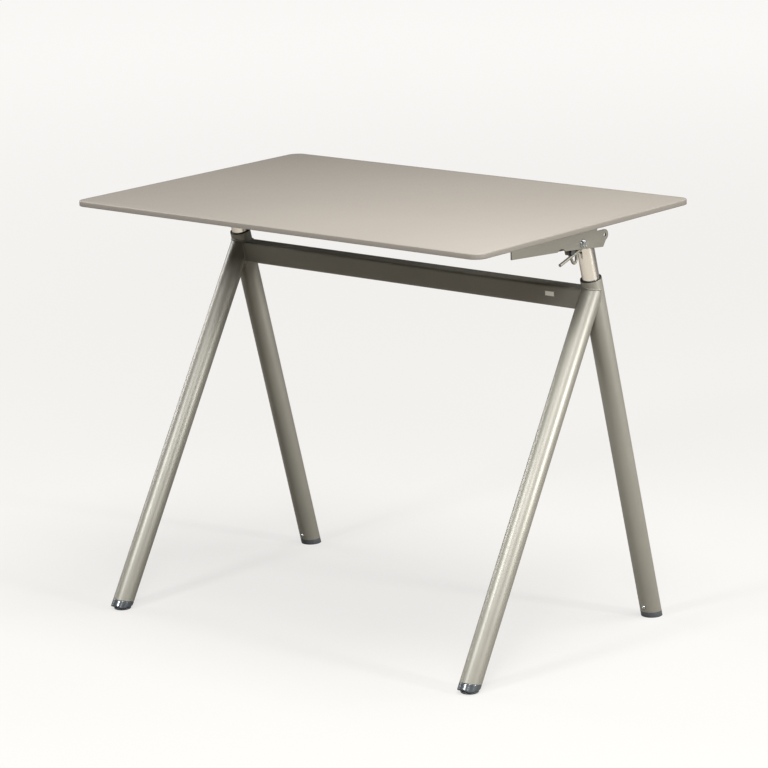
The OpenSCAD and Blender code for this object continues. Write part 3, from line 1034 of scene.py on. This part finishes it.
def islands_of(node):
    """The lowest and highest corner of each separate solid in a CAD node."""
    bm = bmesh.new()
    bm.from_mesh(NODES[node].data)
    bmesh.ops.remove_doubles(bm, verts=bm.verts, dist=SAME_POINT)
    waiting, boxes = set(bm.verts), []
    while waiting:
        reached = [waiting.pop()]
        corners = []
        while reached:
            vertex = reached.pop()
            corners.append(vertex.co.copy())
            for edge in vertex.link_edges:
                other = edge.other_vert(vertex)
                if other in waiting:
                    waiting.remove(other)
                    reached.append(other)
        low = Vector(min(corner[axis] for corner in corners) for axis in range(3))
        high = Vector(max(corner[axis] for corner in corners) for axis in range(3))
        boxes.append((low, high))
    bm.free()
    return sorted(boxes, key=lambda box: tuple(box[0]))


def socket_screw(head_radius, head_height, shank_radius, length, axis):
    """A pan-head socket screw, its head's outer face at the origin, pointing along an axis."""
    socket_flats, socket_depth = head_radius * 0.72, head_height * 0.75
    face_share, shoulder_share, lip_share, crown_share = 0.62, 0.72, 0.06, 0.86
    pitch, root_share, tip_radius, tip_length = 0.0012, 0.78, 0.0004, 0.002

    def socket(angle):
        return hex_radius(angle, socket_flats)

    profile = [(socket, socket_depth), (socket, 0.0), (head_radius * face_share, 0.0)]
    for step in range(5):
        angle = math.radians(90) * step / 4
        profile.append((
            head_radius * (shoulder_share + (1 - shoulder_share) * math.sin(angle)),
            head_height * (lip_share + crown_share * (1 - math.cos(angle))),
        ))
    profile += [(head_radius, head_height), (shank_radius, head_height)]
    crest = head_height + pitch
    while crest < length - tip_length:
        profile += [(shank_radius * root_share, crest - pitch / 2), (shank_radius, crest)]
        crest += pitch
    profile.append((tip_radius, length))
    bm = bmesh.new()
    add_turned(bm, frame_on(Vector((0, 0, 0)), axis), profile, segments=36)
    return object_from_bmesh("screw pattern", bm, sharp_angle=30)


def set_screws(node, pattern, places, most_turn):
    """Sets one screw pattern at each place, instead of a CAD node, and removes the pattern."""
    settings = {"Fastener": pattern, "Most Turn": most_turn, "Finish": zinc}
    screws = run_tree(f"{node}_finished", path_mesh("screw places", places), FASTENERS, settings)
    bpy.data.objects.remove(pattern)
    screws.data.set_sharp_from_angle(angle=math.radians(30))
    finish_piece(screws, node, zinc, replaces=True)


def build_bracket_screws():
    """The screws that hold the tilt brackets under the top, each turned as it was driven."""
    head_height, shank_radius = 0.0026, 0.0025
    boxes = islands_of("bracket_screws")
    places = [Vector(((low.x + high.x) / 2, (low.y + high.y) / 2, low.z)) for low, high in boxes]
    width, _, length = boxes[-1][1] - boxes[-1][0]
    pattern = socket_screw(width / 2, head_height, shank_radius, length, Z_AXIS)
    set_screws("bracket_screws", pattern, places, 2 * math.pi)


def build_rear_foot_screws():
    """The screw that holds each rear foot, driven square into the back of the column."""
    head_radius, head_height, shank_radius, length, above_floor = 0.0036, 0.0016, 0.002, 0.0105, 0.027
    outward = Vector((0, -COLUMN_AXIS.z, COLUMN_AXIS.y))
    pattern = socket_screw(head_radius, head_height, shank_radius, length, -outward)
    places = []
    for side in SIDES.values():
        on_axis = column_origin(side) + COLUMN_AXIS * above_floor / COLUMN_AXIS.z
        places.append(on_axis + outward * (LEG_R + head_height))
    set_screws("rear_foot_screws", pattern, places, 0.0)


FASTENERS = build_fastener_tree()
build_pivot_fasteners()
build_bracket_screws()
build_rear_foot_screws()

# ---- Floor, light and camera -----------------------------------------------------------


def build_floor():
    """A pale studio floor: it glows a little where it is seen, and throws back a darker, warmer light."""
    bm = bmesh.new()
    bmesh.ops.create_grid(bm, x_segments=8, y_segments=8, size=30)
    floor = object_from_bmesh("studio_floor", bm)
    material = bpy.data.materials.new("Pale studio floor")
    material.use_nodes = True
    tree = material.node_tree
    link = tree.links.new
    shader = tree.nodes["Principled BSDF"]
    shader.inputs["Base Color"].default_value = (0.098, 0.096, 0.093, 1)
    shader.inputs["Roughness"].default_value = 0.8
    shader.inputs["Specular IOR Level"].default_value = 0.0
    shader.inputs["Emission Color"].default_value = (1.0, 0.985, 0.965, 1)
    coordinates = tree.nodes.new("ShaderNodeTexCoord")
    distance = tree.nodes.new("ShaderNodeVectorMath")
    distance.operation = "LENGTH"
    glow = tree.nodes.new("ShaderNodeMapRange")
    glow.interpolation_type = "SMOOTHSTEP"
    for socket, value in (("From Min", 0.5), ("From Max", 9.0), ("To Min", 0.68), ("To Max", 0.93)):
        glow.inputs[socket].default_value = value
    link(coordinates.outputs["Object"], distance.inputs[0])
    link(distance.outputs["Value"], glow.inputs["Value"])
    link(glow.outputs["Result"], shader.inputs["Emission Strength"])
    bounce = tree.nodes.new("ShaderNodeBsdfDiffuse")
    bounce.inputs["Color"].default_value = (0.196, 0.183, 0.162, 1)
    seen = tree.nodes.new("ShaderNodeLightPath")
    chosen = tree.nodes.new("ShaderNodeMixShader")
    link(seen.outputs["Is Camera Ray"], chosen.inputs["Fac"])
    link(bounce.outputs["BSDF"], chosen.inputs[1])
    link(shader.outputs["BSDF"], chosen.inputs[2])
    link(chosen.outputs["Shader"], tree.nodes["Material Output"].inputs["Surface"])
    floor.data.materials.append(material)


def build_softbox(name, place, size, power, colour):
    """A square softbox aimed at the middle of the table."""
    light = bpy.data.lights.new(name, "AREA")
    light.shape = "SQUARE"
    light.size = size
    light.energy = power
    light.color = colour
    lamp = bpy.data.objects.new(name, light)
    bpy.context.scene.collection.objects.link(lamp)
    middle = Vector((0, 0, 0.45))
    lamp.location = place
    lamp.rotation_euler = (middle - Vector(place)).to_track_quat("-Z", "Y").to_euler()


def build_lights():
    """Light from overhead, the lever's side and the front, and weaker light from the left and behind."""
    neutral, warm, cool = (1.0, 0.99, 0.975), (1.0, 0.985, 0.96), (0.99, 0.995, 1.0)
    build_softbox("Overhead softbox", (1.3, -0.3, 5.0), 2.6, 470, neutral)
    build_softbox("Side softbox", (6.5, 0.8, 2.25), 0.8, 500, warm)
    build_softbox("Front softbox", (-0.5, -4.2, 2.9), 0.8, 215, cool)
    build_softbox("Corner softbox", (2.6, -3.1, 3.2), 1.0, 120, neutral)
    build_softbox("Left softbox", (-5.6, -0.4, 2.3), 2.4, 170, neutral)
    build_softbox("Rear softbox", (3.6, 4.2, 2.9), 2.0, 110, neutral)


def build_surround():
    """A pale surround that is seen bright but lights the table only weakly."""
    world = bpy.data.worlds.new("Studio surround")
    world.use_nodes = True
    tree = world.node_tree
    background = tree.nodes["Background"]
    background.inputs["Color"].default_value = (1.0, 0.985, 0.965, 1)
    rays = tree.nodes.new("ShaderNodeLightPath")
    strength = remap(tree, rays.outputs["Is Camera Ray"], 0.0, 1.0, 0.07, 0.9)
    tree.links.new(strength, background.inputs["Strength"])
    bpy.context.scene.world = world


def build_camera():
    """The camera: a long lens in front on the lever's side, a little above the top, rolled slightly."""
    azimuth, elevation, roll = math.radians(40.35), math.radians(13.5), math.radians(-1.56)
    distance, target = 6.364, Vector((0.0141, -0.0174, 0.4621))
    back = Vector((
        math.sin(azimuth) * math.cos(elevation),
        -math.cos(azimuth) * math.cos(elevation),
        math.sin(elevation),
    ))
    right = (-back).cross(Z_AXIS).normalized()
    up = right.cross(-back)
    camera_x = right * math.cos(roll) + up * math.sin(roll)
    camera_y = up * math.cos(roll) - right * math.sin(roll)
    data = bpy.data.cameras.new("Camera")
    data.sensor_width = 36
    data.lens = 154.3
    data.clip_end = 100
    camera = bpy.data.objects.new("Camera", data)
    bpy.context.scene.collection.objects.link(camera)
    turn = Matrix((camera_x, camera_y, back)).transposed().to_4x4()
    camera.matrix_world = Matrix.Translation(target + back * distance) @ turn
    bpy.context.scene.camera = camera


build_floor()
build_lights()
build_surround()
build_camera()
bpy.context.scene.view_settings.view_transform = "Standard"
